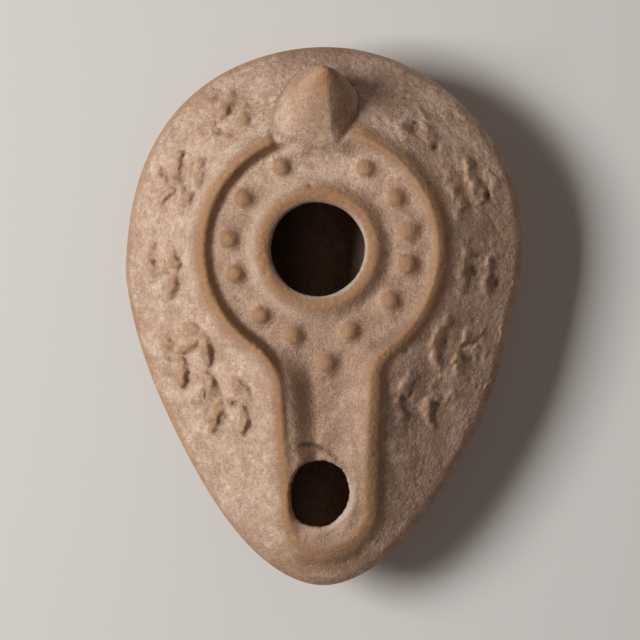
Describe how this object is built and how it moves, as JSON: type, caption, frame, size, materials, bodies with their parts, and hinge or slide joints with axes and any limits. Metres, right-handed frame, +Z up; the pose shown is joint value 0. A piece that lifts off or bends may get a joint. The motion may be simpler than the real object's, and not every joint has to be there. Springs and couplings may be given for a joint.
{
  "type": "terracotta oil lamp",
  "caption": "Hollow mould-made clay oil lamp, egg-shaped, with a ringed filling hole, a ridged channel to the wick hole and a knob handle.",
  "frame": {"origin": "on the ground under the middle of the lamp's outline", "axes": "+Y from the nozzle towards the knob handle, +Z up, +X to the right seen from the nozzle end"},
  "size_m": [0.0708, 0.096, 0.0353],
  "materials": {
    "fired_clay": "matt worn terracotta"
  },
  "bodies": {
    "root": {"lamp_body": "fired_clay"}
  },
  "joints": []
}
